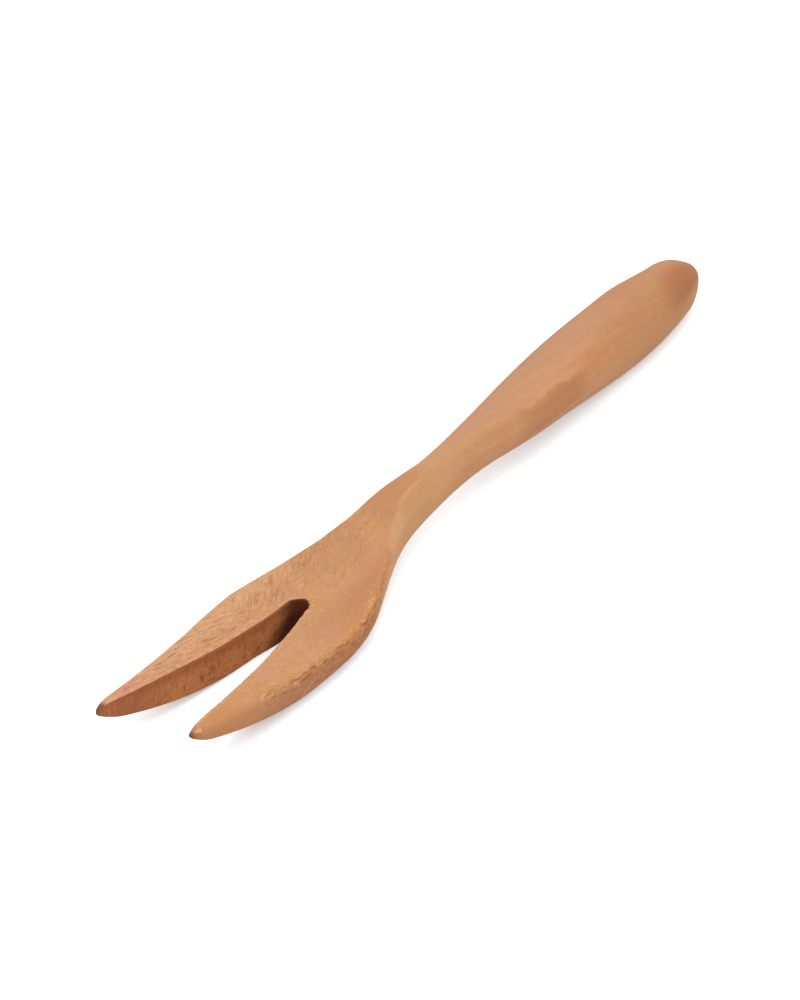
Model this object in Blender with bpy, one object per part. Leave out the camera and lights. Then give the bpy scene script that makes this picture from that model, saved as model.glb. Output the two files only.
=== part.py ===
"""A two-tined tapas fork, carved from one length of hardwood.

Metres, +Z up. The fork lies on z = 0, on flats under its belly and its heel, with the tines
towards -Y and the handle towards +Y. X = 0 is the middle of the slot, and the origin is under
the middle of the length.

The body is a loft of rounded sections. Each place along the fork is given as its distance from
the tine tips. Between the named sections, every size follows a smooth curve.
"""

import math
from collections import namedtuple

import bmesh
import bpy
import numpy as np

LENGTH = 0.150
HEAD_WIDTH = 0.0201
HEAD_THICKNESS = 0.0051
NECK_WIDTH = 0.0053
NECK_THICKNESS = 0.0065
GRIP_WIDTH = 0.01145
GRIP_THICKNESS = 0.0094

# The slot between the tines: nearly straight walls that spread from a round root
SLOT_LENGTH = 0.0386
SLOT_ROOT_RADIUS = 0.00155
SLOT_ROOT_TAPER = math.radians(6.4)
SLOT_MOUTH_WIDTH = 0.0136
SLOT_EDGE_ROUND = 0.0003

# The tines: their width beside the slot, at the tips before the noses round them off, and further back
TIP_WIDTH = 0.0012
TINE_WIDTH = 0.0040
TIP_LIFT = 0.0061
TIP_THICKNESS = 0.0022
# Over the nose, each tine closes to a point: how far out from the slot's wall, and how far up the tip
NOSE_LENGTH = 0.0045
NOSE_FULLNESS = 2.0
POINT_SETBACK = 0.0003
POINT_RISE = 0.0013
# The right tip stands this much higher than the left one, easing out towards the belly
TIP_STAGGER = 0.00135
STAGGER_REACH = 0.024

# How far the belly and the heel are planed off, which leaves the flats that the fork lies on
REST_DEPTH = 0.00015

# The handle's end closes in a dome
END_LENGTH = 0.008
END_FULLNESS = 1.95

# How finely the loft is divided
TINE_STEP = 0.0017
BODY_STEP = 0.0021
NOSE_STEPS = 7
ROOT_STEPS = 7
END_STEPS = 8
EDGE_STEPS = 2
FLAT_STEPS = 3
ROUND_STEPS = 6

# The most that a corner may take of the width beside the slot, and of the thickness
INSET_LIMIT = 0.9
DEPTH_LIMIT = 0.5

SHARP_ANGLE = math.radians(40)
MERGE_DISTANCE = 1e-7

WOOD_COLOUR = (0.61, 0.30, 0.14, 1.0)
WOOD_ROUGHNESS = 0.55

# The centre of the slot's round root, and the point where each wall runs into the round
ROOT_CENTRE = SLOT_LENGTH - SLOT_ROOT_RADIUS
TURN_AT = ROOT_CENTRE + SLOT_ROOT_RADIUS * math.sin(SLOT_ROOT_TAPER)
TURN_GAP = SLOT_ROOT_RADIUS * math.cos(SLOT_ROOT_TAPER)
WALL_TAPER = math.tan(SLOT_ROOT_TAPER)
WALL_FLARE = (SLOT_MOUTH_WIDTH / 2 - TURN_GAP - WALL_TAPER * TURN_AT) / TURN_AT**2


def half_gap(at, offset=0.0):
    """Half the slot's width at a place, or that of an outline set back from the slot by offset."""
    radius = SLOT_ROOT_RADIUS + offset
    along = at - ROOT_CENTRE
    if along >= radius:
        return 0.0
    if along > radius * math.sin(SLOT_ROOT_TAPER):
        return math.sqrt(radius**2 - along**2)
    run = TURN_AT - at
    return TURN_GAP + WALL_TAPER * run + WALL_FLARE * run**2 + offset / math.cos(SLOT_ROOT_TAPER)


def across_tines(at, tine_width):
    """The width over both tines, where each is tine_width wide beside the slot."""
    return 2 * (half_gap(at) + tine_width)


# A section is a rectangle with elliptical corners. An inset is how far a corner reaches in from
# the side, and top_drop and bottom_rise are how far it reaches down or up. A corner that is
# taller than it is wide leaves a ridge along the top and a side that leans in, as on the neck.
Section = namedtuple(
    "Section", "at width underside thickness top_inset top_drop bottom_inset bottom_rise"
)

TIP = Section(
    at=0.0,
    width=across_tines(0.0, TIP_WIDTH),
    underside=TIP_LIFT,
    thickness=TIP_THICKNESS,
    top_inset=0.0006,
    top_drop=0.0006,
    bottom_inset=0.0009,
    bottom_rise=0.0010,
)
TINE = Section(
    at=0.013,
    width=across_tines(0.013, TINE_WIDTH),
    underside=0.0018,
    thickness=0.0046,
    top_inset=0.0009,
    top_drop=0.0009,
    bottom_inset=0.0021,
    bottom_rise=0.0021,
)
BELLY = Section(
    at=0.031,
    width=HEAD_WIDTH,
    underside=-REST_DEPTH,
    thickness=HEAD_THICKNESS,
    top_inset=0.0010,
    top_drop=0.0010,
    bottom_inset=0.0032,
    bottom_rise=0.0030,
)
SHOULDER = Section(
    at=0.041,
    width=HEAD_WIDTH - 0.0017,
    underside=0.0007,
    thickness=0.0045,
    top_inset=0.0010,
    top_drop=0.0011,
    bottom_inset=0.0030,
    bottom_rise=0.0028,
)
THROAT = Section(
    at=0.0495,
    width=0.0126,
    underside=0.0017,
    thickness=0.0047,
    top_inset=0.0009,
    top_drop=0.0014,
    bottom_inset=0.0022,
    bottom_rise=0.0020,
)
BROW = Section(
    at=0.054,
    width=0.0094,
    underside=0.0021,
    thickness=0.0053,
    top_inset=0.0010,
    top_drop=0.0019,
    bottom_inset=0.0020,
    bottom_rise=0.0020,
)
COLLAR = Section(
    at=0.0585,
    width=NECK_WIDTH + 0.0017,
    underside=0.0024,
    thickness=0.0069,
    top_inset=0.0011,
    top_drop=0.0026,
    bottom_inset=0.0019,
    bottom_rise=0.0022,
)
WAIST = Section(
    at=LENGTH - 0.058,
    width=0.0086,
    underside=0.0029,
    thickness=0.0064,
    top_inset=0.0024,
    top_drop=0.0031,
    bottom_inset=0.0029,
    bottom_rise=0.0029,
)
NECK = Section(
    at=COLLAR.at + (WAIST.at - COLLAR.at) / 3,
    width=NECK_WIDTH,
    underside=0.0032,
    thickness=NECK_THICKNESS,
    top_inset=0.0014,
    top_drop=0.0030,
    bottom_inset=0.0019,
    bottom_rise=0.0024,
)
STEM = Section(
    at=COLLAR.at + (WAIST.at - COLLAR.at) * 2 / 3,
    width=NECK_WIDTH + 0.0007,
    underside=0.0035,
    thickness=NECK_THICKNESS - 0.0005,
    top_inset=0.0017,
    top_drop=0.0030,
    bottom_inset=0.0023,
    bottom_rise=0.0026,
)
SWELL = Section(
    at=LENGTH - 0.046,
    width=GRIP_WIDTH - 0.0010,
    underside=0.0020,
    thickness=GRIP_THICKNESS - 0.0017,
    top_inset=0.0032,
    top_drop=0.0035,
    bottom_inset=0.0036,
    bottom_rise=0.0034,
)
GRIP = Section(
    at=LENGTH - 0.030,
    width=GRIP_WIDTH,
    underside=0.0004,
    thickness=GRIP_THICKNESS,
    top_inset=0.0039,
    top_drop=0.0040,
    bottom_inset=0.0042,
    bottom_rise=0.0041,
)
HEEL = Section(
    at=LENGTH - 0.017,
    width=GRIP_WIDTH - 0.0008,
    underside=-REST_DEPTH,
    thickness=GRIP_THICKNESS + 0.0002,
    top_inset=0.0038,
    top_drop=0.0041,
    bottom_inset=0.0040,
    bottom_rise=0.0040,
)
BUTT = Section(
    at=LENGTH - END_LENGTH,
    width=0.0089,
    underside=0.0003,
    thickness=0.0084,
    top_inset=0.0034,
    top_drop=0.0038,
    bottom_inset=0.0034,
    bottom_rise=0.0036,
)
HEAD_SECTIONS = (TIP, TINE, BELLY, SHOULDER, THROAT, BROW, COLLAR)
HANDLE_SECTIONS = (NECK, STEM, WAIST, SWELL, GRIP, HEEL, BUTT)
SECTIONS = HEAD_SECTIONS + HANDLE_SECTIONS


def natural_spline(knots, values):
    """A smooth curve through the values, with no bend at either end."""
    knots = np.array(knots)
    values = np.array(values)
    step = np.diff(knots)
    slope = np.diff(values) / step
    count = len(knots)
    system = np.eye(count)
    change = np.zeros(count)
    for i in range(1, count - 1):
        system[i, i - 1 : i + 2] = step[i - 1], 2 * (step[i - 1] + step[i]), step[i]
        change[i] = 6 * (slope[i] - slope[i - 1])
    bend = np.linalg.solve(system, change)

    def curve(at):
        i = int(np.clip(np.searchsorted(knots, at) - 1, 0, count - 2))
        before = (knots[i + 1] - at) / step[i]
        after = 1 - before
        sag = (before**3 - before) * bend[i] + (after**3 - after) * bend[i + 1]
        return before * values[i] + after * values[i + 1] + sag * step[i] ** 2 / 6

    return curve


PLACES = [section.at for section in SECTIONS]
CURVES = {
    name: natural_spline(PLACES, [getattr(section, name) for section in SECTIONS])
    for name in Section._fields[1:]
}


def section_at(at):
    """The section at a place, with its underside planed flat where it would dip below z = 0."""
    sizes = {name: float(curve(at)) for name, curve in CURVES.items()}
    sizes["underside"] = max(sizes["underside"], 0.0)
    return Section(at=at, **sizes)


def slot_edge(at):
    """Points over the slot's rounded edge at a place: distance from X = 0, and drop below the face."""
    past_root = at - SLOT_LENGTH
    points = []
    for i in range(EDGE_STEPS + 1):
        angle = math.pi / 2 * i / EDGE_STEPS
        offset = SLOT_EDGE_ROUND * (1 - math.cos(angle))
        offset = min(max(offset, past_root), SLOT_EDGE_ROUND)
        inward = SLOT_EDGE_ROUND - offset
        drop = SLOT_EDGE_ROUND - math.sqrt(SLOT_EDGE_ROUND**2 - inward**2)
        points.append((half_gap(at, offset), drop))
    return points


def half_section(section):
    """One half of a section as (x, z), from the top at the slot or the middle, round to the bottom."""
    half_width = section.width / 2
    top = section.underside + section.thickness
    bottom = section.underside
    edge = slot_edge(section.at)
    flat_start = edge[-1][0]
    room = half_width - flat_start

    def corner(inset, depth):
        for i in range(ROUND_STEPS + 1):
            angle = math.pi / 2 * i / ROUND_STEPS
            yield half_width - inset * (1 - math.sin(angle)), depth * (1 - math.cos(angle))

    def face(inset, depth):
        inset = min(inset, INSET_LIMIT * room)
        depth = min(depth, DEPTH_LIMIT * section.thickness)
        flat_end = half_width - inset
        for i in range(1, FLAT_STEPS):
            yield flat_start + (flat_end - flat_start) * i / FLAT_STEPS, 0.0
        yield from corner(inset, depth)

    upper_face = [*edge, *face(section.top_inset, section.top_drop)]
    lower_face = [*edge, *face(section.bottom_inset, section.bottom_rise)]
    upper = [(x, top - drop) for x, drop in upper_face]
    lower = [(x, bottom + rise) for x, rise in lower_face]
    return upper + lower[::-1]


def closing(share, fullness):
    """The size left at a share of the way to an end: 2 rounds it off, and 1 would make a cone."""
    return max(0.0, 1 - share**fullness) ** (1 / fullness)


def ring(at, side):
    """One half-ring of the fork's skin, in row coordinates. Side is 1 on the right, -1 on the left."""
    section = section_at(min(at, LENGTH - END_LENGTH))
    points = np.array(half_section(section))
    to_tip = 1 - at / NOSE_LENGTH
    if to_tip > 0:
        point = np.array([half_gap(0.0) + POINT_SETBACK, TIP_LIFT + POINT_RISE])
        points = point + (points - point) * closing(to_tip, NOSE_FULLNESS)
    to_end = 1 - (LENGTH - at) / END_LENGTH
    if to_end > 0:
        end = np.array([0.0, section.underside + section.thickness / 2])
        points = end + (points - end) * closing(to_end, END_FULLNESS)
    stagger = side * TIP_STAGGER / 2 * max(0.0, 1 - at / STAGGER_REACH) ** 2
    return [(side * x, at - LENGTH / 2, z + stagger) for x, z in points]


def places_along():
    """Where the rings lie: close together round the noses, the slot's root and the handle's end."""
    quarter = math.pi / 2
    nose = [NOSE_LENGTH * (1 - math.cos(quarter * i / NOSE_STEPS)) for i in range(NOSE_STEPS)]
    tines = np.linspace(NOSE_LENGTH, TURN_AT, round((TURN_AT - NOSE_LENGTH) / TINE_STEP) + 1)
    turns = np.linspace(SLOT_ROOT_TAPER, quarter, ROOT_STEPS + 1)[1:]
    root = [ROOT_CENTRE + SLOT_ROOT_RADIUS * math.sin(turn) for turn in turns]
    edge_angles = [quarter * i / EDGE_STEPS for i in range(1, EDGE_STEPS)]
    edge = [SLOT_LENGTH + SLOT_EDGE_ROUND * (1 - math.cos(angle)) for angle in edge_angles]
    body_start = SLOT_LENGTH + SLOT_EDGE_ROUND
    body_end = LENGTH - END_LENGTH
    body = np.linspace(body_start, body_end, round((body_end - body_start) / BODY_STEP) + 1)
    end = [body_end + END_LENGTH * math.sin(quarter * i / END_STEPS) for i in range(1, END_STEPS + 1)]
    return [*nose, *tines, *root, *edge, *body, *end]


def add_half(mesh, places, side):
    """Skin one half of the fork. Up to the slot's root, the half is a tine with a wall of its own."""
    rings = [[mesh.verts.new(point) for point in ring(at, side)] for at in places]
    for at, near, far in zip(places[1:], rings[:-1], rings[1:]):
        last = len(near) - 1
        for i in range(last):
            mesh.faces.new((near[i], near[i + 1], far[i + 1], far[i]))
        if at <= ROOT_CENTRE + SLOT_ROOT_RADIUS:
            mesh.faces.new((near[last], near[0], far[0], far[last]))


def wood_material():
    material = bpy.data.materials.new("wood")
    material.use_nodes = True
    shader = material.node_tree.nodes["Principled BSDF"]
    shader.inputs["Base Color"].default_value = WOOD_COLOUR
    shader.inputs["Roughness"].default_value = WOOD_ROUGHNESS
    shader.inputs["Metallic"].default_value = 0.0
    material.diffuse_color = WOOD_COLOUR
    return material


def make_fork():
    skin = bmesh.new()
    places = places_along()
    for side in (1, -1):
        add_half(skin, places, side)
    bmesh.ops.remove_doubles(skin, verts=skin.verts, dist=MERGE_DISTANCE)
    bmesh.ops.recalc_face_normals(skin, faces=skin.faces)
    mesh = bpy.data.meshes.new("fork")
    skin.to_mesh(mesh)
    skin.free()
    mesh.shade_smooth()
    mesh.set_sharp_from_angle(angle=SHARP_ANGLE)
    mesh.materials.append(wood_material())
    fork = bpy.data.objects.new("fork", mesh)
    bpy.context.collection.objects.link(fork)


def main():
    for item in list(bpy.data.objects):
        bpy.data.objects.remove(item)
    make_fork()


main()
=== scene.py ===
"""The looks of a carved hardwood tapas fork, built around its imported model.

Metres, +Z up, tines towards -Y. Places along the fork are distances from the tine tips. Carving and
grain are worked out in millimetres, because that is the scale of a knife cut or a pore.
"""

import math
import random
from collections import namedtuple

import bmesh
import bpy
import numpy as np
from mathutils import Matrix, Vector, kdtree, noise


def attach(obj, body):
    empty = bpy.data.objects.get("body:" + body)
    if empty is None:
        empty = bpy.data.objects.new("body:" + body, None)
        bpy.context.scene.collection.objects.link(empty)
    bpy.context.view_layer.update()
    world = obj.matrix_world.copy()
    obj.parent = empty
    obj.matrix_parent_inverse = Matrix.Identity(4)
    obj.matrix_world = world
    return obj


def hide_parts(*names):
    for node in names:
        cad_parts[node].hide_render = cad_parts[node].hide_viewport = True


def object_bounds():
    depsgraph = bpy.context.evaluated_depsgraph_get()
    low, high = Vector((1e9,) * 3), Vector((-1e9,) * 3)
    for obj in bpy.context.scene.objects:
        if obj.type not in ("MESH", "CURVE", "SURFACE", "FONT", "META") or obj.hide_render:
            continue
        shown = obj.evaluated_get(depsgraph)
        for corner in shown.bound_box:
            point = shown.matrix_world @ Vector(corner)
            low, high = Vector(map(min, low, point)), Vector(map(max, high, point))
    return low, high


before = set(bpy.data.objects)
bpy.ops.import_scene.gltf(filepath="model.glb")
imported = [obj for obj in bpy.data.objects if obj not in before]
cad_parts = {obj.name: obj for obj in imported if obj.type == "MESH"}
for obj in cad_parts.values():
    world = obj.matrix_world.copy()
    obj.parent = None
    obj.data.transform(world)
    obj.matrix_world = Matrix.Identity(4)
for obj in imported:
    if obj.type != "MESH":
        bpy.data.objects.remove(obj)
cad_low, cad_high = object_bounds()

MM = 1000.0
TIPS = cad_low.y * MM

# The view: the camera's turn about the fork, its rise and its roll, its distance from a centre above the
# floor, how far beside that centre it aims, and its lens, in millimetres, with the clip in metres
VIEW_TURN = math.radians(30.74)
VIEW_RISE = math.radians(30.13)
VIEW_ROLL = math.radians(-1.13)
VIEW_DISTANCE = 546.26
VIEW_CENTRE_HEIGHT = 4.0
AIM_ACROSS = -6.17
AIM_UP = -1.74
FOCAL_LENGTH = 139.87
SENSOR = 36.0
CLIP_START = 0.01

# The light: an even dome, a pale floor, and one large lamp overhead, a little to the right. The camera
# sees the floor as an even glow and a shade that takes the fork's shadow, which add up to white.
DOME_STRENGTH = 0.83
KEY_PLACE = (0.2, -0.15, 0.9)
KEY_SIZE = 0.9
KEY_POWER = 2.3
FLOOR_SIZE = 6.0
FLOOR_COLOUR = (0.74, 0.73, 0.72, 1.0)
FLOOR_GLOW = 0.30
FLOOR_SHADE = (1.04, 1.17, 1.24, 1.0)

# The mesh: the head's faces are split before the skin is subdivided, so that its edges stay crisp. Sizes
# and places are in millimetres, and the weld in metres.
WELD = 1e-6
QUAD_ANGLE = math.radians(60)
HEAD_START = 4.0
HEAD_END = 60.0
LONG_ROW = 1.2
WIDE_FACE = 0.5
TALL_FACE = 2.6
SUBDIVISIONS = 2

# The slot, in millimetres: its root leans to the left, narrows below its top, bows out at its left lip,
# and is charred dark, with painted shade laid over the char. The sides say how far from the middle a
# change reaches.
SLOT_END = 38.6
SLOT_HALF_WIDTH = 7.5
SLOT_MARGIN = 0.6
ROOT_START = 30.0
ROOT_TOP = 5.0
ROOT_SIDES = (2.0, 6.0)
ROOT_LEAN = 0.45
ROOT_DRAFT = 0.28
LIP_BOW = 0.32
LIP_HEIGHTS = (3.0, 4.2)
LIP_SIDES = (0.3, 1.0, 2.5, 5.0)
CHAR_AND_SHADE_START = 29.0
CHAR_AND_SHADE_SLANT = 1.1
CHAR_AND_SHADE_BLEND = 5.0

# A knife cut: its place along, its turn from the top towards the right in degrees, its depth, how far
# it runs out at each end, how soft its edges are, and its rise along the fork, or None where it follows
# the surface
SHARP = 0.05
SOFT = 0.10
WORN = 0.35
Facet = namedtuple("Facet", "at turn depth reach softness rise", defaults=(SHARP, None))
FACETS = (
    Facet(0.6, 30, 0.28, 2.5, SHARP, 0.9),
    Facet(12, 44, 0.10, 15, WORN),
    Facet(56, 50, 0.34, 4.5),
    Facet(64, 64, 0.36, 13),
    Facet(75, 58, 0.26, 10),
    Facet(86, 66, 0.24, 11),
    Facet(98, 35, 0.16, 12),
    Facet(103, 72, 0.30, 15),
    Facet(114, 112, 0.22, 18, WORN),
    Facet(117, 60, 0.22, 13),
    Facet(143, 40, 0.26, 9, SOFT, -0.36),
    Facet(146, 95, 0.12, 6, WORN),
)

# Lighter cuts all round the handle, each shifted along and swung round a little by chance. The handle is
# first thickened from the neck on, to give them room.
CUT_SEED = 11
CUT_START = 66
CUT_END = 130
CUT_STEP = 12
CUT_SHIFT = 5
CUT_TURNS = range(-125, 76, 50)
CUT_SWING = 14
CUT_DEPTHS = (0.02, 0.06)
CUT_REACHES = (6, 10)
CUT_ROOM = 0.04
NECK = (60, 70)

# Where the left edge of the head swells or dips: place, reach, and the shift outwards and upwards. The
# shift grows from the middle outwards and from the floor upwards.
SWELLS = (
    (34.5, 3.2, 0.22, 0.13),
    (44.0, 4.5, -0.17, -0.10),
    (53.8, 2.8, 0.24, 0.15),
)
SWELL_SIDES = (1.5, 5.0)
SWELL_HEIGHTS = (0.5, 3.0)

# How rough the surface is, in millimetres: uneven all over, dented along the edges and nibbled along
# the slot's lips, with how wide a lip is and how far the wear of an edge reaches
UNEVENNESS = 0.05
EDGE_DENT = 0.10
LIP_NIBBLE = 0.28
LIP_WIDTH = 1.0
WEAR_REACH = 1.8

# The noise of each: its bumps in a millimetre across, along and up, and its seed
UNEVEN_NOISE = ((0.2, 0.1, 0.2), 3)
DENT_NOISE = ((0.9, 0.6, 0.9), 5)
NIBBLE_NOISE = ((2.4, 1.8, 2.4), 7)
# The lips are more ragged round the root, and nothing that touches the floor is roughened
RAGGED_START = (35, 38)
RAGGEDNESS = 1.5
OFF_FLOOR = (0.1, 1.0)

# Which outward bends count as a lip or as a rim, as one over their radius, and how much the left edge is
# worn where the right one is worn fully
LIP_BEND = (1.5, 2.4)
RIM_BEND = (0.22, 0.7)
LEFT_WEAR = 0.35

# How squarely a surface has to face the slot to be its wall, and face up to be an edge or the ridge that
# gets a painted highlight
WALL_FACING = (0.35, 0.8)
EDGE_FACING = (-0.1, 0.3)
RIDGE_HIGHLIGHT_FACING = (0.45, 0.7)
# From what share of wall on a point counts as lying on it
ON_WALL = 0.9
# How far below its lip the slot's wall is darkened with painted shade
LIP_SHADE_DEPTHS = (0.5, 2.2)

# Zones along the fork: where each starts, where it is full, where it fades and where it ends
ROOT_ZONE = (29, 37, 39, 45)
BOW_ZONE = (31, 36, 37.8, 39.2)
EDGE_ZONE = (8, 20, 46, 54)
# The ridge zone is where a painted highlight runs along the neck
RIDGE_HIGHLIGHT_ZONE = (58, 61, 65, 70)


def smooth_step(low, high, value):
    share = np.clip((value - low) / (high - low), 0, 1)
    return share * share * (3 - 2 * share)


def zone(value, start, full, fade, end):
    """1 from full to fade, easing to 0 at start and at end."""
    return smooth_step(start, full, value) * (1 - smooth_step(fade, end, value))


def rough(points, scale, seed):
    """Smooth noise from -1 to 1 at each point, where scale is the number of bumps in a millimetre."""
    shift = Vector((seed * 17.3, seed * 5.9, seed * 11.7))
    return np.array([noise.noise(Vector(point) + shift) for point in points * np.array(scale)])


def split(skin, chosen, cuts):
    edges = [edge for edge in skin.edges if chosen(edge)]
    bmesh.ops.subdivide_edges(skin, edges=edges, cuts=cuts, use_grid_fill=True)


def edge_run(edge):
    """How far an edge runs across, along and up, and where its middle is along the fork."""
    start, end = (vertex.co * MM for vertex in edge.verts)
    run = end - start
    return abs(run.x), abs(run.y), abs(run.z), (start.y + end.y) / 2 - TIPS


def in_long_row(edge):
    _, lengthways, _, at = edge_run(edge)
    return lengthways > LONG_ROW and at < HEAD_END


def in_wall(edge):
    across, lengthways, up, at = edge_run(edge)
    return up > TALL_FACE and up > across + lengthways and at < SLOT_END + 0.1


def in_wide_face(edge):
    across, lengthways, up, at = edge_run(edge)
    span = max(across, up)
    return span > WIDE_FACE and lengthways < span and HEAD_START < at < HEAD_END


def fine_copy(node, name):
    """A copy of a node's mesh, with its triangles joined back into quads, split and subdivided."""
    skin = bmesh.new()
    skin.from_mesh(node.data)
    bmesh.ops.remove_doubles(skin, verts=skin.verts, dist=WELD)
    bmesh.ops.join_triangles(
        skin, faces=skin.faces, angle_face_threshold=QUAD_ANGLE, angle_shape_threshold=QUAD_ANGLE
    )
    split(skin, in_long_row, 1)
    split(skin, in_wall, 2)
    split(skin, in_wide_face, 1)
    mesh = bpy.data.meshes.new(name)
    skin.to_mesh(mesh)
    skin.free()
    coarse = bpy.data.objects.new(name, mesh)
    bpy.context.collection.objects.link(coarse)
    subdivide = coarse.modifiers.new("subdivide", "SUBSURF")
    subdivide.levels = SUBDIVISIONS
    subdivide.render_levels = SUBDIVISIONS
    shaped = coarse.evaluated_get(bpy.context.evaluated_depsgraph_get())
    coarse.data = bpy.data.meshes.new_from_object(shaped)
    coarse.modifiers.clear()
    coarse.data.name = name
    return coarse


def read_points(mesh):
    points = np.empty(len(mesh.vertices) * 3)
    mesh.vertices.foreach_get("co", points)
    return points.reshape(-1, 3) * MM


def write_points(mesh, points):
    mesh.vertices.foreach_set("co", (points / MM).ravel())
    mesh.update()


def read_normals(mesh):
    normals = np.empty(len(mesh.vertices) * 3)
    mesh.vertices.foreach_get("normal", normals)
    return normals.reshape(-1, 3)


def write_mask(mesh, name, values):
    mask = mesh.attributes.new(name, "FLOAT", "POINT")
    mask.data.foreach_set("value", np.ascontiguousarray(values, np.float32))


def along(points):
    """Distance from the tine tips."""
    return points[:, 1] - TIPS


def edge_sharpness(mesh, points, normals):
    """The strongest outward bend at each point, as one over its radius in millimetres."""
    ends = np.empty(len(mesh.edges) * 2, int)
    mesh.edges.foreach_get("vertices", ends)
    ends = ends.reshape(-1, 2)
    bend = np.zeros(len(points))
    for here, there in ((0, 1), (1, 0)):
        step = points[ends[:, there]] - points[ends[:, here]]
        turn = -2 * (normals[ends[:, here]] * step).sum(1) / (step**2).sum(1)
        np.maximum.at(bend, ends[:, here], turn)
    return bend


def near_points(points, chosen, reach):
    """1 at the chosen points, easing to 0 at a distance of reach from them."""
    tree = kdtree.KDTree(int(chosen.sum()))
    for index, point in enumerate(points[chosen]):
        tree.insert(point, index)
    tree.balance()
    away = np.array([tree.find(point)[2] for point in points])
    return 1 - smooth_step(0, reach, away)


def lean_slot(points):
    """Lean the slot's root a little to the left, narrow it underneath, and bow out its left lip."""
    at = along(points)
    inner = zone(at, *ROOT_ZONE) * (1 - smooth_step(*ROOT_SIDES, np.abs(points[:, 0])))
    depth = 1 - np.clip(points[:, 2] / ROOT_TOP, 0, 1)
    points[:, 0] -= ROOT_LEAN * inner * smooth_step(-1.0, 1.0, points[:, 0])
    points[:, 0] *= 1 - ROOT_DRAFT * inner * depth
    bow = zone(at, *BOW_ZONE) * smooth_step(*LIP_HEIGHTS, points[:, 2])
    points[:, 0] -= LIP_BOW * bow * zone(-points[:, 0], *LIP_SIDES)


def swell_left(points):
    """The left edge of the head isn't a fair curve: it swells and dips a little."""
    for at, reach, outwards, upwards in SWELLS:
        weight = np.exp(-(((along(points) - at) / reach) ** 2))
        weight *= smooth_step(*SWELL_SIDES, -points[:, 0])
        weight *= smooth_step(*SWELL_HEIGHTS, points[:, 2])
        points[:, 0] -= outwards * weight
        points[:, 2] += upwards * weight


def cut_facet(points, facet):
    """Plane a shallow facet off the surface, as one knife stroke does."""
    turn = math.radians(facet.turn)
    away = np.array([math.sin(turn), 0.0, math.cos(turn)])
    offset = along(points) - facet.at
    height = points @ away
    rise = facet.rise
    if rise is None:
        ends = [height[np.abs(offset - end) < 1.0].max() for end in (-facet.reach / 4, facet.reach / 4)]
        rise = (ends[1] - ends[0]) / (facet.reach / 2)
    over = height - rise * offset
    over -= over[np.abs(offset) < facet.reach / 4].max() - facet.depth
    over = facet.softness * np.log1p(np.exp(np.clip(over / facet.softness, -30, 30)))
    weight = 1 - smooth_step(0.5, 1.0, np.abs(offset) / facet.reach)
    points -= away * (over * weight)[:, None]


def grow_handle(points, normals):
    """Thicken the handle by what the lighter cuts take off it again."""
    weight = smooth_step(*NECK, along(points)) * smooth_step(*OFF_FLOOR, points[:, 2])
    points += CUT_ROOM * normals * weight[:, None]


def whittle(points):
    """Make the lighter cuts, each at a slightly different place, angle, depth and length."""
    draw = random.Random(CUT_SEED)
    for at in range(CUT_START, CUT_END, CUT_STEP):
        for turn in CUT_TURNS:
            place = at + draw.uniform(-CUT_SHIFT, CUT_SHIFT)
            angle = turn + draw.uniform(-CUT_SWING, CUT_SWING)
            facet = Facet(place, angle, draw.uniform(*CUT_DEPTHS), draw.uniform(*CUT_REACHES), SOFT)
            cut_facet(points, facet)


def roughen(points, normals, edges, lips):
    """Slight unevenness all over, dents along the edges, and nibbles along the slot's lips."""
    uneven = UNEVENNESS * rough(points, *UNEVEN_NOISE)
    dents = EDGE_DENT * edges * np.clip(rough(points, *DENT_NOISE), 0, None)
    ragged = 1 + RAGGEDNESS * smooth_step(*RAGGED_START, along(points))
    nibbles = LIP_NIBBLE * lips * ragged * np.clip(rough(points, *NIBBLE_NOISE), 0, None)
    off_the_floor = smooth_step(*OFF_FLOOR, points[:, 2])
    points += normals * ((uneven - dents - nibbles) * off_the_floor)[:, None]


def slot_wall(points, normals):
    """1 on the slot's wall, easing to 0 where the surface turns away from the slot."""
    at = along(points)
    side = np.sign(points[:, 0])
    facing = np.maximum(-side * normals[:, 0], -normals[:, 1] * (at > ROOT_START))
    near = (at < SLOT_END + SLOT_MARGIN) & (np.abs(points[:, 0]) < SLOT_HALF_WIDTH)
    return smooth_step(*WALL_FACING, facing) * near


def near_slot(points, wall):
    """1 at the slot's wall, easing to 0 a lip's width away from it."""
    at = along(points)
    near = np.zeros(len(points))
    for side in (1, -1):
        across = side * points[:, 0]
        on_wall = (wall > ON_WALL) & (across > 0)
        order = np.argsort(at[on_wall])
        away = across - np.interp(at, at[on_wall][order], across[on_wall][order])
        near = np.where(across > 0, 1 - smooth_step(0.3 * LIP_WIDTH, LIP_WIDTH, away), near)
    return near * (1 - smooth_step(SLOT_END, SLOT_END + LIP_WIDTH, at))


def shade_below_lip(points, wall):
    """Where painted shade goes on the slot's wall: 1 at its top, easing to 0 lower down."""
    rows = along(points).astype(int)
    tops = np.zeros(rows.max() + 1)
    np.maximum.at(tops, rows[wall > ON_WALL], points[wall > ON_WALL, 2])
    return 1 - smooth_step(*LIP_SHADE_DEPTHS, tops[rows] - points[:, 2])


def paint_wall(mesh, wall):
    """Give the faces of the slot's wall their own material."""
    for face in mesh.polygons:
        corners = wall[list(face.vertices)]
        face.material_index = int(corners.mean() > 0.5)


def shape_fork(mesh):
    """Lean the slot, swell the left edge and make the knife cuts."""
    points = read_points(mesh)
    lean_slot(points)
    swell_left(points)
    for facet in FACETS:
        cut_facet(points, facet)
    write_points(mesh, points)
    grow_handle(points, read_normals(mesh))
    whittle(points)
    write_points(mesh, points)
    return points


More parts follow.
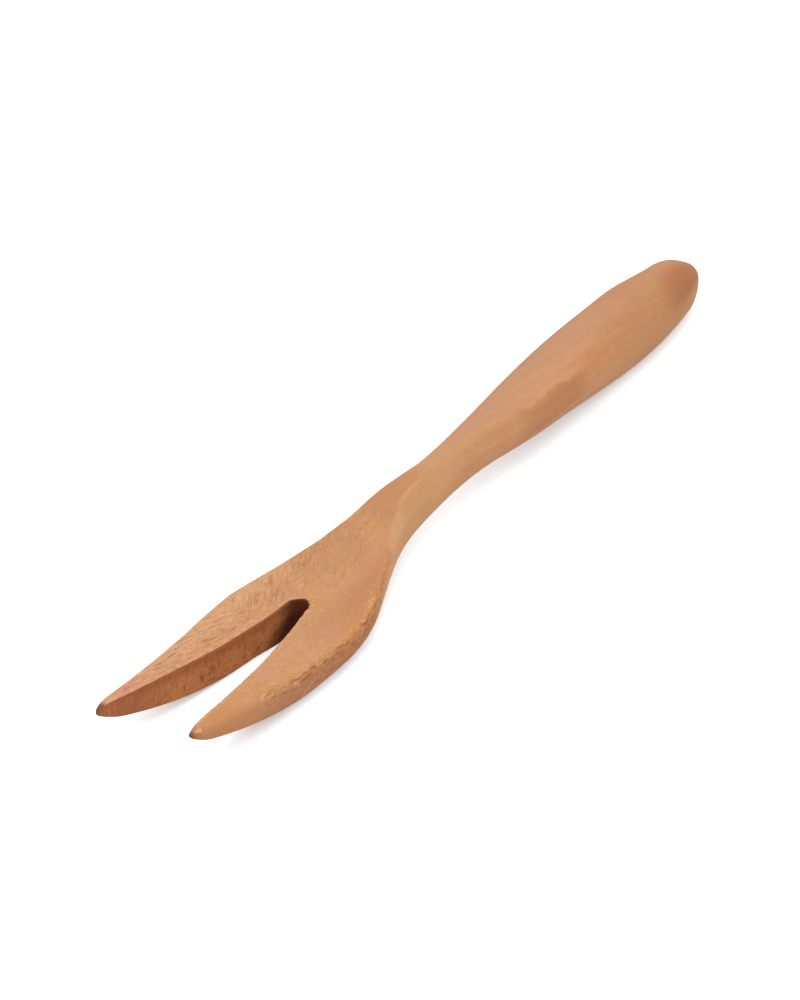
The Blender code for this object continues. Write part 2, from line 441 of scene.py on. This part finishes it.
def make_fork(node):
    """The fork's skin, carved and roughened, with masks for where its materials change and painted light
    goes.
    """
    fork = fine_copy(node, "fork_wood")
    mesh = fork.data
    points = shape_fork(mesh)
    normals = read_normals(mesh)
    at = along(points)
    wall = slot_wall(points, normals)
    bend = edge_sharpness(mesh, points, normals)
    facing_up = smooth_step(*EDGE_FACING, normals[:, 2])
    beside_slot = near_slot(points, wall) * facing_up
    lips = smooth_step(*LIP_BEND, bend) * beside_slot
    rims = smooth_step(*RIM_BEND, bend) * (1 - wall) * facing_up * (1 - lips)
    on_right = smooth_step(-1, 1, points[:, 0])
    edges = rims * zone(at, *EDGE_ZONE) * (LEFT_WEAR + (1 - LEFT_WEAR) * on_right)
    ridge = rims * zone(at, *RIDGE_HIGHLIGHT_ZONE) * on_right * smooth_step(*RIDGE_HIGHLIGHT_FACING, normals[:, 2])
    roughen(points, normals, edges, lips)
    write_points(mesh, points)

    # The char at the slot's root, with painted shade laid over it
    write_mask(mesh, "char_and_shade", smooth_step(0, CHAR_AND_SHADE_BLEND, at - CHAR_AND_SHADE_START - CHAR_AND_SHADE_SLANT * points[:, 2]))
    write_mask(mesh, "edge", edges)
    write_mask(mesh, "worn", near_points(points, edges > 0.5, WEAR_REACH) * (1 - wall))
    # Where a painted highlight runs along the neck's ridge
    write_mask(mesh, "ridge", ridge)
    # Where a painted highlight runs along the slot's lips
    write_mask(mesh, "lip", beside_slot * (1 - wall))
    # Painted shade under the lip of the slot's wall
    write_mask(mesh, "lip_shade", shade_below_lip(points, wall))
    mesh.shade_smooth()
    mesh.materials.clear()
    mesh.materials.append(wood_material())
    mesh.materials.append(wall_material())
    paint_wall(mesh, wall)
    return fork


class Graph:
    """Adds nodes to a material or to the world, and links them."""

    def __init__(self, tree):
        self.tree = tree

    def add(self, kind, inputs=None, output=0, **settings):
        node = self.tree.nodes.new(kind)
        for name, value in settings.items():
            setattr(node, name, value)
        for socket, value in (inputs or {}).items():
            self.feed(node.inputs[socket], value)
        return node.outputs[output]

    def feed(self, socket, value):
        if isinstance(value, bpy.types.NodeSocket):
            self.tree.links.new(value, socket)
        else:
            socket.default_value = value

    def reckon(self, operation, *values):
        return self.add("ShaderNodeMath", dict(enumerate(values)), operation=operation)

    def sum(self, first, second):
        return self.reckon("ADD", first, second)

    def product(self, first, *others):
        for other in others:
            first = self.reckon("MULTIPLY", first, other)
        return first

    def step(self, value, low, high):
        """0 below low, 1 above high, or the other way round if low is the larger."""
        inputs = {0: value, 1: low, 2: high, 3: 0.0, 4: 1.0}
        return self.add("ShaderNodeMapRange", inputs, interpolation_type="SMOOTHSTEP")

    def band(self, value, low, high, blend):
        """1 from low to high, easing to 0 on both sides."""
        return self.product(self.step(value, low - blend, low), self.step(value, high + blend, high))

    def between(self, value, low, high):
        """Low where the value is 0, high where it is 1."""
        return self.add("ShaderNodeMapRange", {0: value, 1: 0.0, 2: 1.0, 3: low, 4: high})

    def place(self):
        """Where a point is on the fork, in millimetres."""
        where = self.add("ShaderNodeTexCoord", output="Object")
        return self.stretch(where, (MM, MM, MM))

    def part(self, vector, axis):
        return self.add("ShaderNodeSeparateXYZ", {0: vector}, output="XYZ".index(axis))

    def stretch(self, place, scale):
        return self.add("ShaderNodeVectorMath", {0: place, 1: scale}, operation="MULTIPLY")

    def turned(self, place, angle):
        """The place in axes that are turned about Z, so that a pattern runs at an angle to the fork."""
        inputs = {"Vector": place, "Angle": math.radians(angle)}
        return self.add("ShaderNodeVectorRotate", inputs, rotation_type="Z_AXIS")

    def noise(self, place, scale, detail=2.0, roughness=0.5):
        """Noise around 0.5, where scale is the number of bumps in a millimetre."""
        inputs = {"Vector": self.stretch(place, scale), "Scale": 1.0}
        inputs.update({"Detail": detail, "Roughness": roughness})
        return self.add("ShaderNodeTexNoise", inputs)

    def cells(self, place, scale, output):
        inputs = {"Vector": self.stretch(place, scale), "Scale": 1.0}
        return self.add("ShaderNodeTexVoronoi", inputs, output=output)

    def mix(self, factor, first, second):
        """The first colour where the factor is 0, the second where it is 1."""
        inputs = {0: factor, 6: first, 7: second}
        return self.add("ShaderNodeMix", inputs, output=2, data_type="RGBA")

    def tint(self, colour, other, *shares):
        """The colour mixed with another, by the product of the shares."""
        return self.mix(self.product(*shares), colour, other)

    def mask(self, name):
        return self.add("ShaderNodeAttribute", output="Fac", attribute_name=name)

    def patch(self, spot, oval):
        """1 in the middle of an oval patch, easing to 0 at its rim."""
        offsets = []
        axes = ((spot.at, oval.at, oval.length), (spot.across, oval.across, oval.width))
        for value, centre, size in axes:
            offset = self.product(self.sum(value, -centre), 2 / size)
            offsets.append(self.product(offset, offset))
        return self.step(self.sum(*offsets), 1.2, 0.2)

    def bump(self, height, strength, distance):
        inputs = {"Height": height, "Strength": strength, "Distance": distance}
        return self.add("ShaderNodeBump", inputs)


def srgb(red, green, blue):
    """A colour as it shows on a screen, 0 to 255, turned into light."""
    shares = (red / 255, green / 255, blue / 255)
    light = [s / 12.92 if s <= 0.04045 else ((s + 0.055) / 1.055) ** 2.4 for s in shares]
    return (*light, 1.0)


# Colours of the wood, its marks, its edges and the slot's wall, and of the painted shade and highlights
TAN = srgb(212, 158, 113)
PINK = srgb(207, 151, 113)
GOLD = srgb(207, 151, 98)
PALE = srgb(224, 172, 132)
ROSE_AND_SHADE = srgb(195, 134, 94)
AMBER_AND_SHADE = srgb(203, 139, 89)
BLUSH = srgb(214, 150, 120)
DUSK_SHADE = srgb(201, 148, 114)
MOSS_AND_SHADE = srgb(180, 132, 92)
OLIVE_LIGHT = srgb(209, 158, 108)
UMBER_AND_SHADE = srgb(172, 110, 74)
FIBRE = srgb(184, 120, 76)
SPECK_AND_HIGHLIGHT = srgb(240, 192, 144)
PORE = srgb(104, 58, 32)
SCRATCH = srgb(176, 114, 74)
FLANK_SHADE = srgb(178, 115, 80)
LIP_HIGHLIGHT = srgb(228, 170, 132)
RIDGE_HIGHLIGHT = srgb(224, 174, 130)
WEAR = srgb(206, 142, 86)
PIT_AND_SHADOW_LINE = srgb(138, 78, 44)
END_GRAIN = srgb(164, 100, 62)
TIP = srgb(130, 77, 47)
WALL = srgb(203, 132, 83)
WALL_DARK_AND_SHADE = srgb(158, 92, 54)
WALL_RED = srgb(168, 100, 68)
WALL_GOLD = srgb(228, 166, 104)
CHAR_AND_SHADE = srgb(97, 50, 29)

# The grain runs at a small angle to the fork, and the scratches of sanding at a larger one
GRAIN_TURN = 10.0
SCRATCH_TURN = -28.0

# The cells that hold one pore each: how many there are in a millimetre across, along and up
PORE_CELL = (2.2, 0.15, 2.2)

# The line of the ridge carved along the handle, with a painted highlight above it and painted shade
# below
# it: how far across it would be at the tips, and its slope
RIDGE_START = -7.45
RIDGE_SLOPE = 0.112

# How far across the painted highlight on the chip at the right tip starts, and where it is whole
CHIP_HIGHLIGHT_SIDES = (7.2, 7.7)

# Oval patches of another colour: their place along and across, length and width
Patch = namedtuple("Patch", "at across length width")
RED_PATCHES = (Patch(35.4, -5.8, 5.5, 2.6), Patch(47.0, -5.2, 6.0, 2.6))
GOLDEN_HEAD = Patch(45.0, 2.0, 24.0, 14.0)
# Painted shade on the upper head
UPPER_HEAD_SHADE = Patch(49.0, -2.5, 14.0, 11.0)
CROWDED_PORES = Patch(19.0, -6.2, 20.0, 7.0)
MOSSY_HANDLE = Patch(130.0, 3.8, 36.0, 8.0)
BROWN_END = Patch(144.0, 7.2, 23.0, 15.5)

# A finish: its roughness where the noise is 0 and where it is 1, its gloss, and the strength and the
# height of its relief, the height in metres
Finish = namedtuple("Finish", "roughness gloss strength relief")
WOOD_FINISH = Finish((0.82, 0.58), 0.12, 0.35, 0.00012)
WALL_FINISH = Finish((0.6, 0.85), 0.08, 0.5, 0.00018)

# A point of a surface: its place, the place in axes turned with the grain, how far it is from the tips
# and from the middle, and the three parts of the way that the surface faces
Spot = namedtuple("Spot", "place grain at across sideways endways up")

# In the shading below, places are millimetres from the tips or from the middle, a way that a surface
# faces runs from -1 to 1, noise from 0 to 1, and the last number of a tint is its strength


def new_material(name):
    material = bpy.data.materials.new(name)
    material.use_nodes = True
    return material, Graph(material.node_tree), material.node_tree.nodes["Principled BSDF"]


def surface_spot(graph):
    place = graph.place()
    facing = graph.add("ShaderNodeTexCoord", output="Normal")
    at = graph.sum(graph.part(place, "Y"), -TIPS)
    faces = [graph.part(facing, axis) for axis in "XYZ"]
    return Spot(place, graph.turned(place, GRAIN_TURN), at, graph.part(place, "X"), *faces)


def apply_finish(graph, shader, finish, colour, grit, height):
    """Give a shader its colour, its gloss, its roughness by the grit, and its relief by the height."""
    graph.feed(shader.inputs["Base Color"], colour)
    graph.feed(shader.inputs["Roughness"], graph.between(grit, *finish.roughness))
    graph.feed(shader.inputs["Normal"], graph.bump(height, finish.strength, finish.relief))
    shader.inputs["Specular IOR Level"].default_value = finish.gloss


def broad_colours(graph, spot):
    """Patches of tan, pink and gold, and a finer mottling."""
    patch = graph.noise(spot.grain, (0.11, 0.04, 0.11), detail=3.0)
    colour = graph.mix(graph.step(patch, 0.38, 0.62), TAN, PINK)
    blotch = graph.noise(spot.place, (0.42, 0.2, 0.42))
    colour = graph.tint(colour, GOLD, graph.step(blotch, 0.46, 0.66), 0.6)
    mottle = graph.noise(spot.place, (1.1, 0.7, 1.1), detail=3.0, roughness=0.6)
    smooth = graph.between(graph.step(spot.at, 54.0, 66.0), 1.0, 0.4)
    colour = graph.tint(colour, SPECK_AND_HIGHLIGHT, graph.step(mottle, 0.52, 0.74), smooth, 0.3)
    return graph.tint(colour, FIBRE, graph.step(mottle, 0.48, 0.28), smooth, 0.3)


def shade_head(graph, spot, colour):
    """The head is pale along its left rim, pink at the left tip and amber at the right one.

    It is redder along its right rim. Painted shade lies on its upper middle, and painted shade in red on
    its right flank, which gives way to a painted highlight towards the neck.
    """
    left_rim = graph.product(graph.step(spot.across, -4.5, -8.5), graph.step(spot.at, 52.0, 40.0))
    colour = graph.tint(colour, PALE, left_rim, 0.6)
    left_tip = graph.product(graph.step(spot.across, 0.0, -2.0), graph.step(spot.at, 14.0, 4.0))
    colour = graph.tint(colour, BLUSH, left_tip, 0.7)
    for red in RED_PATCHES:
        colour = graph.tint(colour, ROSE_AND_SHADE, graph.patch(spot, red), 0.45)
    colour = graph.tint(colour, GOLD, graph.patch(spot, GOLDEN_HEAD), 0.35)
    # Painted shade on the upper head
    colour = graph.tint(colour, MOSS_AND_SHADE, graph.patch(spot, UPPER_HEAD_SHADE), 0.28)
    head = graph.step(spot.at, 58.0, 52.0)
    right_rim = graph.product(head, graph.step(spot.at, 26.0, 42.0), graph.step(spot.across, 2.0, 6.0))
    colour = graph.tint(colour, ROSE_AND_SHADE, right_rim, 0.8)
    right_tip = graph.product(graph.step(spot.across, 0.0, 2.0), graph.step(spot.at, 18.0, 5.0))
    colour = graph.tint(colour, AMBER_AND_SHADE, right_tip, 0.75)
    # Painted shade in red on the right flank, where the surface faces sideways and down, with streaks of
    # grain in it
    side = graph.product(graph.step(spot.up, 0.55, -0.1), graph.step(spot.sideways, -0.1, 0.3))
    flank = graph.product(side, graph.step(spot.at, 48.0, 38.0))
    flank_shade_share = graph.between(graph.step(spot.at, 8.0, 26.0), 0.25, 0.85)
    colour = graph.tint(colour, FLANK_SHADE, flank, flank_shade_share)
    streak = graph.noise(spot.grain, (1.6, 0.5, 1.6), detail=3.0, roughness=0.65)
    rough_flank = graph.product(flank, graph.band(spot.at, 22.0, 46.0, 8.0))
    colour = graph.tint(colour, UMBER_AND_SHADE, rough_flank, graph.step(streak, 0.50, 0.66), 0.75)
    colour = graph.tint(colour, TAN, rough_flank, graph.step(streak, 0.46, 0.32), 0.55)
    # A painted highlight on the flank towards the neck
    return graph.tint(colour, RIDGE_HIGHLIGHT, side, graph.band(spot.at, 46.0, 53.0, 6.0), 0.7)


def shade_neck(graph, spot, colour):
    """The neck has painted shade in red on its brow, painted light on its side, and a painted highlight
    along the ridge between them that broadens to a band.
    """
    # Painted shade in red on the brow
    brow = graph.product(graph.band(spot.at, 59.0, 67.0, 4.0), graph.step(spot.up, 0.3, 0.7))
    colour = graph.tint(colour, ROSE_AND_SHADE, brow, 0.65)
    # Painted light on the right side
    on_right = graph.step(spot.sideways, 0.1, 0.5)
    side = graph.product(graph.band(spot.at, 55.0, 70.0, 5.0), graph.step(spot.up, 0.8, 0.4), on_right)
    colour = graph.tint(colour, OLIVE_LIGHT, side, 0.75)
    # A painted highlight in a band, and along the ridge
    band = graph.product(graph.band(spot.at, 54.0, 58.5, 1.5), graph.band(spot.up, 0.45, 0.75, 0.12))
    colour = graph.tint(colour, RIDGE_HIGHLIGHT, band, on_right, 0.45)
    return graph.tint(colour, RIDGE_HIGHLIGHT, graph.mask("ridge"), 0.45)


def shade_handle(graph, spot, colour):
    """The handle has painted shade on its left, painted shade in amber on its right, a painted highlight
    above its ridge and painted shade below it, and is brown at its end.

    Faint streaks run along all of it.
    """
    handle = graph.step(spot.at, 70.0, 84.0)
    # Painted shade on the left half and on the left-facing side
    colour = graph.tint(colour, DUSK_SHADE, handle, graph.step(spot.across, 3.0, -1.0), 0.8)
    colour = graph.tint(colour, ROSE_AND_SHADE, handle, graph.step(spot.sideways, 0.0, -0.7), 0.4)
    colour = graph.tint(colour, ROSE_AND_SHADE, graph.band(spot.at, 134.0, 138.0, 20.0), 0.4)
    # Painted shade in amber, in patches, on the right-facing side
    patch = graph.noise(spot.place, (0.3, 0.12, 0.3))
    right_side = graph.product(graph.step(spot.sideways, -0.1, 0.4), graph.step(spot.up, -0.15, 0.4))
    amber = graph.product(handle, right_side, graph.between(graph.step(spot.at, 96.0, 108.0), 0.5, 1.0))
    amber_share = graph.between(graph.step(patch, 0.35, 0.65), 0.4, 0.75)
    colour = graph.tint(colour, AMBER_AND_SHADE, amber, amber_share)
    # Painted shade low on the right towards the neck, and painted light along the low edge towards the
    # end
    low = graph.product(graph.step(spot.up, 0.45, -0.05), graph.step(spot.sideways, 0.2, 0.5))
    colour = graph.tint(colour, ROSE_AND_SHADE, handle, low, graph.step(spot.at, 108.0, 96.0), 0.25)
    colour = graph.tint(colour, OLIVE_LIGHT, low, graph.step(spot.at, 104.0, 118.0), 0.4)
    nick = graph.product(graph.sum(graph.noise(spot.place, (0.5, 0.5, 0.5), detail=1.0), -0.5), 1.3)
    past_ridge = graph.sum(graph.sum(spot.across, graph.product(spot.at, -RIDGE_SLOPE)), -RIDGE_START)
    past_ridge = graph.sum(past_ridge, nick)
    # A painted highlight above the carved ridge and painted shade below it
    carved = graph.band(spot.at, 94.0, 104.0, 6.0)
    above = graph.product(graph.band(past_ridge, -0.6, -0.3, 0.5), graph.step(spot.up, 0.2, 0.5))
    colour = graph.tint(colour, RIDGE_HIGHLIGHT, carved, above, 0.2)
    below = graph.product(graph.step(past_ridge, -0.45, 0.35), graph.step(spot.up, -0.4, -0.1))
    colour = graph.tint(colour, UMBER_AND_SHADE, carved, below, 0.42)
    colour = graph.tint(colour, MOSS_AND_SHADE, graph.patch(spot, MOSSY_HANDLE), 0.28)
    streak = graph.noise(spot.grain, (1.3, 0.05, 1.3), detail=3.0, roughness=0.6)
    colour = graph.tint(colour, FIBRE, handle, graph.step(streak, 0.52, 0.70), 0.17)
    colour = graph.tint(colour, PALE, handle, graph.step(streak, 0.48, 0.30), 0.17)
    end = graph.patch(spot, BROWN_END)
    return graph.tint(colour, UMBER_AND_SHADE, end, graph.step(spot.up, -0.15, 0.35), 0.82)


def open_grain(graph, spot, colour):
    """Fibres along the grain, and open pores on the left tine: the colour, and the height."""
    open_share = graph.product(graph.step(spot.across, -1.0, -4.5), graph.step(spot.at, 41.0, 30.0))
    left_head = graph.product(graph.step(spot.across, -2.0, -5.0), graph.band(spot.at, 40.0, 52.0, 4.0))
    fibre = graph.noise(spot.grain, (3.4, 0.6, 3.4), detail=3.0, roughness=0.65)
    depth = graph.sum(graph.between(open_share, 0.18, 0.7), graph.product(left_head, 0.3))
    colour = graph.tint(colour, FIBRE, graph.step(fibre, 0.48, 0.68), depth)
    colour = graph.tint(colour, SPECK_AND_HIGHLIGHT, graph.step(fibre, 0.45, 0.30), open_share, 0.45)
    chance = graph.part(graph.cells(spot.grain, PORE_CELL, "Color"), "X")
    crowded = graph.patch(spot, CROWDED_PORES)
    share = graph.product(open_share, graph.between(crowded, 0.2, 0.6))
    present = graph.reckon("LESS_THAN", chance, share)
    from_middle = graph.cells(spot.grain, PORE_CELL, "Distance")
    pore = graph.product(graph.step(from_middle, 0.27, 0.15), present)
    height = graph.sum(graph.product(fibre, 0.5), graph.product(pore, -1.2))
    return graph.tint(colour, PORE, pore, 0.65), height


def sanding(graph, spot, colour):
    """Scratches by the left rim, and fainter ones on the upper head: the colour, and the height."""
    swept = graph.noise(graph.turned(spot.place, SCRATCH_TURN), (3.8, 0.24, 3.8), roughness=0.6)
    patch = graph.noise(spot.place, (0.25, 0.2, 0.25))
    by_rim = graph.product(graph.band(spot.at, 36.0, 47.0, 5.0), graph.step(spot.across, 0.0, -3.0))
    upper = graph.product(graph.band(spot.at, 46.0, 56.0, 5.0), graph.step(spot.across, 4.5, 1.0), 0.6)
    sanded = graph.reckon("MAXIMUM", by_rim, upper)
    depth = graph.product(sanded, graph.between(graph.step(patch, 0.4, 0.6), 0.4, 1.0))
    scratch = graph.product(graph.step(swept, 0.50, 0.66), depth)
    colour = graph.tint(colour, SCRATCH, scratch, 0.6)
    colour = graph.tint(colour, SPECK_AND_HIGHLIGHT, graph.step(swept, 0.44, 0.30), depth, 0.45)
    return colour, graph.product(scratch, -0.6)


def worn_edges(graph, spot, colour):
    """Outer edges rubbed golden, with bright specks and dark pits: the colour, and the height.

    Below the edge run a dark streak and a thin painted shadow line.
    """
    edge = graph.mask("edge")
    worn = graph.mask("worn")
    rubbed = graph.noise(spot.place, (0.8, 0.4, 0.8), detail=4.0, roughness=0.7)
    rubbed = graph.product(worn, graph.step(graph.sum(rubbed, graph.product(edge, 0.08)), 0.44, 0.60))
    golden_share = graph.between(graph.band(spot.at, 31.0, 40.0, 6.0), 0.5, 0.8)
    colour = graph.tint(colour, WEAR, rubbed, golden_share)
    below = graph.product(worn, graph.step(spot.up, 0.8, 0.5), graph.band(spot.at, 24.0, 42.0, 9.0))
    streak = graph.noise(spot.grain, (1.4, 0.25, 1.4), detail=4.0, roughness=0.7)
    colour = graph.tint(colour, UMBER_AND_SHADE, below, graph.step(streak, 0.42, 0.58), 0.7)
    # A thin painted shadow line just under the edge
    shadow_line = graph.product(below, graph.band(spot.up, 0.60, 0.70, 0.08), graph.step(spot.at, 47.0, 39.0))
    colour = graph.tint(colour, PIT_AND_SHADOW_LINE, shadow_line, graph.step(streak, 0.40, 0.50), 0.7)
    lump = graph.noise(spot.place, (2.2, 1.2, 2.2), detail=3.0, roughness=0.65)
    colour = graph.tint(colour, SPECK_AND_HIGHLIGHT, rubbed, graph.step(lump, 0.52, 0.68), 0.5)
    pitted = graph.noise(spot.place, (2.6, 0.8, 2.6), detail=3.0, roughness=0.7)
    pit = graph.product(worn, graph.step(pitted, 0.52, 0.66), graph.step(spot.up, 0.98, 0.7))
    height = graph.sum(graph.product(pit, -1.0), graph.product(edge, lump))
    return graph.tint(colour, PIT_AND_SHADOW_LINE, pit, 0.6), height


def lips_and_ends(graph, spot, colour):
    """A painted highlight along the slot, end grain where the surface faces along the fork, and dark
    tips.

    The chip at the right tip gets a painted highlight.
    """
    # A painted highlight along the lips of the slot
    lip_highlight_share = graph.noise(spot.place, (2.2, 1.5, 2.2), detail=3.0)
    colour = graph.tint(colour, LIP_HIGHLIGHT, graph.mask("lip"), graph.step(lip_highlight_share, 0.42, 0.60), 0.75)
    end_facing = graph.reckon("ABSOLUTE", spot.endways)
    end_share = graph.between(graph.step(spot.at, 7.0, 2.0), 0.25, 0.6)
    colour = graph.tint(colour, END_GRAIN, graph.step(end_facing, 0.2, 0.8), end_share)
    right_end = graph.product(graph.step(spot.at, 2.2, 0.6), graph.step(spot.across, 0.0, 1.0))
    colour = graph.tint(colour, END_GRAIN, right_end, 0.45)
    # A painted highlight on the up-facing chip at the right tip
    chip = graph.product(graph.band(spot.at, 0.9, 1.6, 0.5), graph.step(spot.across, *CHIP_HIGHLIGHT_SIDES))
    colour = graph.tint(colour, SPECK_AND_HIGHLIGHT, chip, graph.step(spot.up, 0.1, 0.4), 0.75)
    left_end = graph.product(graph.step(spot.at, 2.2, 1.2), graph.step(spot.across, 0.0, -1.0))
    colour = graph.tint(colour, TIP, left_end, 0.9)
    return graph.tint(colour, TIP, graph.step(spot.at, 0.9, 0.2), 0.75)


def wood_material():
    """The sanded wood: its colours, painted shade and highlights, a speckle, and marks of grain, sanding
    and wear.
    """
    material, graph, shader = new_material("fork_wood")
    spot = surface_spot(graph)
    colour = broad_colours(graph, spot)
    for shade in (shade_head, shade_neck, shade_handle):
        colour = shade(graph, spot, colour)
    speckle = graph.noise(spot.place, (3.4, 2.4, 3.4), roughness=0.7)
    coarse = graph.between(graph.step(spot.at, 42.0, 54.0), 1.0, 0.2)
    coarse = graph.product(coarse, graph.between(graph.step(spot.across, -1.0, 2.0), 1.0, 0.5))
    colour = graph.tint(colour, SPECK_AND_HIGHLIGHT, graph.step(speckle, 0.52, 0.72), coarse, 0.4)
    colour = graph.tint(colour, FIBRE, graph.step(speckle, 0.48, 0.28), coarse, 0.4)
    height = graph.product(speckle, 0.4)
    for mark in (open_grain, sanding, worn_edges):
        colour, relief = mark(graph, spot, colour)
        height = graph.sum(height, relief)
    colour = lips_and_ends(graph, spot, colour)
    apply_finish(graph, shader, WOOD_FINISH, colour, speckle, height)
    return material


def wall_material():
    """The slot's sawn wall: rough and dark, with upright streaks, golden specks and a charred root.

    Painted shade darkens it under its lip, along its down-facing bottom, and over the char at its root.
    """
    material, graph, shader = new_material("slot_wall")
    spot = surface_spot(graph)
    mottle = graph.noise(spot.place, (1.0, 0.9, 1.0), detail=4.0, roughness=0.7)
    colour = graph.mix(graph.step(mottle, 0.44, 0.74), WALL, WALL_DARK_AND_SHADE)
    strand = graph.noise(spot.place, (0.5, 2.4, 0.8), detail=3.0, roughness=0.6)
    past_tip = graph.step(spot.at, 6.0, 18.0)
    colour = graph.tint(colour, WALL_GOLD, graph.step(strand, 0.54, 0.72), past_tip, 0.5)
    colour = graph.tint(colour, WALL_DARK_AND_SHADE, graph.step(strand, 0.44, 0.28), 0.5)
    speck = graph.noise(spot.place, (4.4, 4.4, 4.4), detail=1.0)
    colour = graph.tint(colour, WALL_GOLD, graph.step(speck, 0.58, 0.70), 0.8)
    colour = graph.tint(colour, WALL_RED, graph.step(spot.at, 16.0, 4.0), 0.85)
    upright = graph.noise(spot.place, (0.5, 2.0, 0.25), detail=3.0, roughness=0.6)
    colour = graph.tint(colour, WALL_DARK_AND_SHADE, graph.step(upright, 0.52, 0.68), 0.45)
    colour = graph.tint(colour, WALL_GOLD, graph.step(upright, 0.46, 0.32), 0.2)
    colour = graph.tint(colour, WALL_GOLD, graph.step(speck, 0.66, 0.74), 0.5)
    # Painted shade under the lip, and along the bottom where the wall faces down
    colour = graph.tint(colour, WALL_DARK_AND_SHADE, graph.mask("lip_shade"), 0.65)
    colour = graph.tint(colour, WALL_DARK_AND_SHADE, graph.step(spot.up, -0.1, -0.5), 0.7)
    colour = graph.tint(colour, TIP, graph.step(spot.at, 0.9, 0.1), 0.5)
    # The root's char, darkened further by painted shade
    colour = graph.mix(graph.mask("char_and_shade"), colour, CHAR_AND_SHADE)
    height = graph.sum(graph.product(mottle, 0.6), graph.product(strand, 0.5))
    apply_finish(graph, shader, WALL_FINISH, colour, mottle, height)
    return material


def seen_rays(graph):
    """1 for a ray that shows the background: from the camera, in a reflection or through glass."""
    rays = graph.tree.nodes.new("ShaderNodeLightPath")
    seen = graph.sum(rays.outputs["Is Camera Ray"], rays.outputs["Is Glossy Ray"])
    return graph.sum(seen, rays.outputs["Is Transmission Ray"])


def floor_material():
    """A pale floor. The camera sees it as white with the fork's soft shadow, and the light as it is."""
    material, graph, shader = new_material("floor")
    shader.inputs["Base Color"].default_value = FLOOR_COLOUR
    shader.inputs["Roughness"].default_value = 1.0
    glow = graph.add("ShaderNodeEmission", {"Color": (1, 1, 1, 1), "Strength": FLOOR_GLOW})
    shade = graph.add("ShaderNodeBsdfDiffuse", {"Color": FLOOR_SHADE})
    white = graph.add("ShaderNodeAddShader", {0: glow, 1: shade})
    surface = graph.add("ShaderNodeMixShader", {0: seen_rays(graph), 1: shader.outputs[0], 2: white})
    output = material.node_tree.nodes["Material Output"]
    material.node_tree.links.new(surface, output.inputs["Surface"])
    return material


def make_floor():
    floor_mesh = bpy.data.meshes.new("floor")
    half = FLOOR_SIZE / 2
    corners = [(-half, -half, 0), (half, -half, 0), (half, half, 0), (-half, half, 0)]
    floor_mesh.from_pydata(corners, [], [(0, 1, 2, 3)])
    floor_mesh.materials.append(floor_material())
    floor = bpy.data.objects.new("floor", floor_mesh)
    bpy.context.collection.objects.link(floor)


def make_light():
    world = bpy.data.worlds.new("dome")
    bpy.context.scene.world = world
    world.use_nodes = True
    graph = Graph(world.node_tree)
    levels = {0: seen_rays(graph), 2: DOME_STRENGTH, 3: 1.0}
    strength = graph.add("ShaderNodeMix", levels, data_type="FLOAT")
    background = world.node_tree.nodes["Background"]
    background.inputs["Color"].default_value = (1, 1, 1, 1)
    graph.feed(background.inputs["Strength"], strength)
    lamp = bpy.data.lights.new("key", "AREA")
    lamp.energy = KEY_POWER
    lamp.size = KEY_SIZE
    key = bpy.data.objects.new("key", lamp)
    key.location = KEY_PLACE
    key.rotation_euler = (-key.location).to_track_quat("-Z", "Y").to_euler()
    bpy.context.collection.objects.link(key)


def make_camera():
    towards = Vector((
        math.sin(VIEW_TURN) * math.cos(VIEW_RISE),
        -math.cos(VIEW_TURN) * math.cos(VIEW_RISE),
        math.sin(VIEW_RISE),
    ))
    across = Vector((math.cos(VIEW_TURN), math.sin(VIEW_TURN), 0))
    centre = Vector((0, 0, VIEW_CENTRE_HEIGHT))
    place = centre + VIEW_DISTANCE * towards
    aim = centre + AIM_ACROSS * across + AIM_UP * towards.cross(across)
    ahead = (aim - place).normalized()
    right = ahead.cross(Vector((0, 0, 1))).normalized()
    turn = Matrix((right, right.cross(ahead), -ahead)).transposed().to_4x4()
    lens = bpy.data.cameras.new("camera")
    lens.sensor_width = SENSOR
    lens.lens = FOCAL_LENGTH
    lens.clip_start = CLIP_START
    camera = bpy.data.objects.new("camera", lens)
    camera.matrix_world = Matrix.Translation(place / MM) @ turn @ Matrix.Rotation(VIEW_ROLL, 4, "Z")
    bpy.context.collection.objects.link(camera)
    bpy.context.scene.camera = camera
    bpy.context.scene.view_settings.view_transform = "Standard"


fork = make_fork(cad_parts["fork"])
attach(fork, "root")
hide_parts("fork")
make_floor()
make_light()
make_camera()
